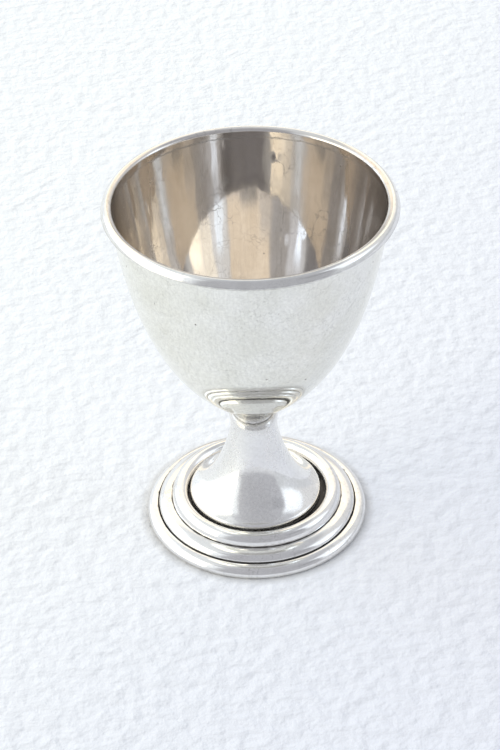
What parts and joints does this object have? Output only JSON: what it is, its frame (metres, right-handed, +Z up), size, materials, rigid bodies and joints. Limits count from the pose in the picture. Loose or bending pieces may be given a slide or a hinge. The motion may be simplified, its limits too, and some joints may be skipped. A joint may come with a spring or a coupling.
{
  "type": "egg cup",
  "caption": "Footed silver egg cup: deep raised bowl with a half-round rim wire, hollow flared stem and a stepped ring foot.",
  "frame": {"origin": "centre of the flat face of the foot that rests on the table", "axes": "+Z up along the axis of the turned form, from the foot to the mouth"},
  "size_m": [0.049, 0.049, 0.065],
  "materials": {
    "raised_silver": "hand polished silver, softened by small knocks and fine scratches",
    "wire_silver": "polished silver wire, worn bright on its crown",
    "stem_silver": "polished silver with faint mottling",
    "foot_silver": "polished silver with dark tarnish in the groove and seam"
  },
  "bodies": {
    "root": {"bowl": "raised_silver", "rim_wire": "wire_silver", "stem": "stem_silver", "foot_bead": "foot_silver", "foot_step": "foot_silver", "foot_rim": "foot_silver"}
  },
  "joints": []
}
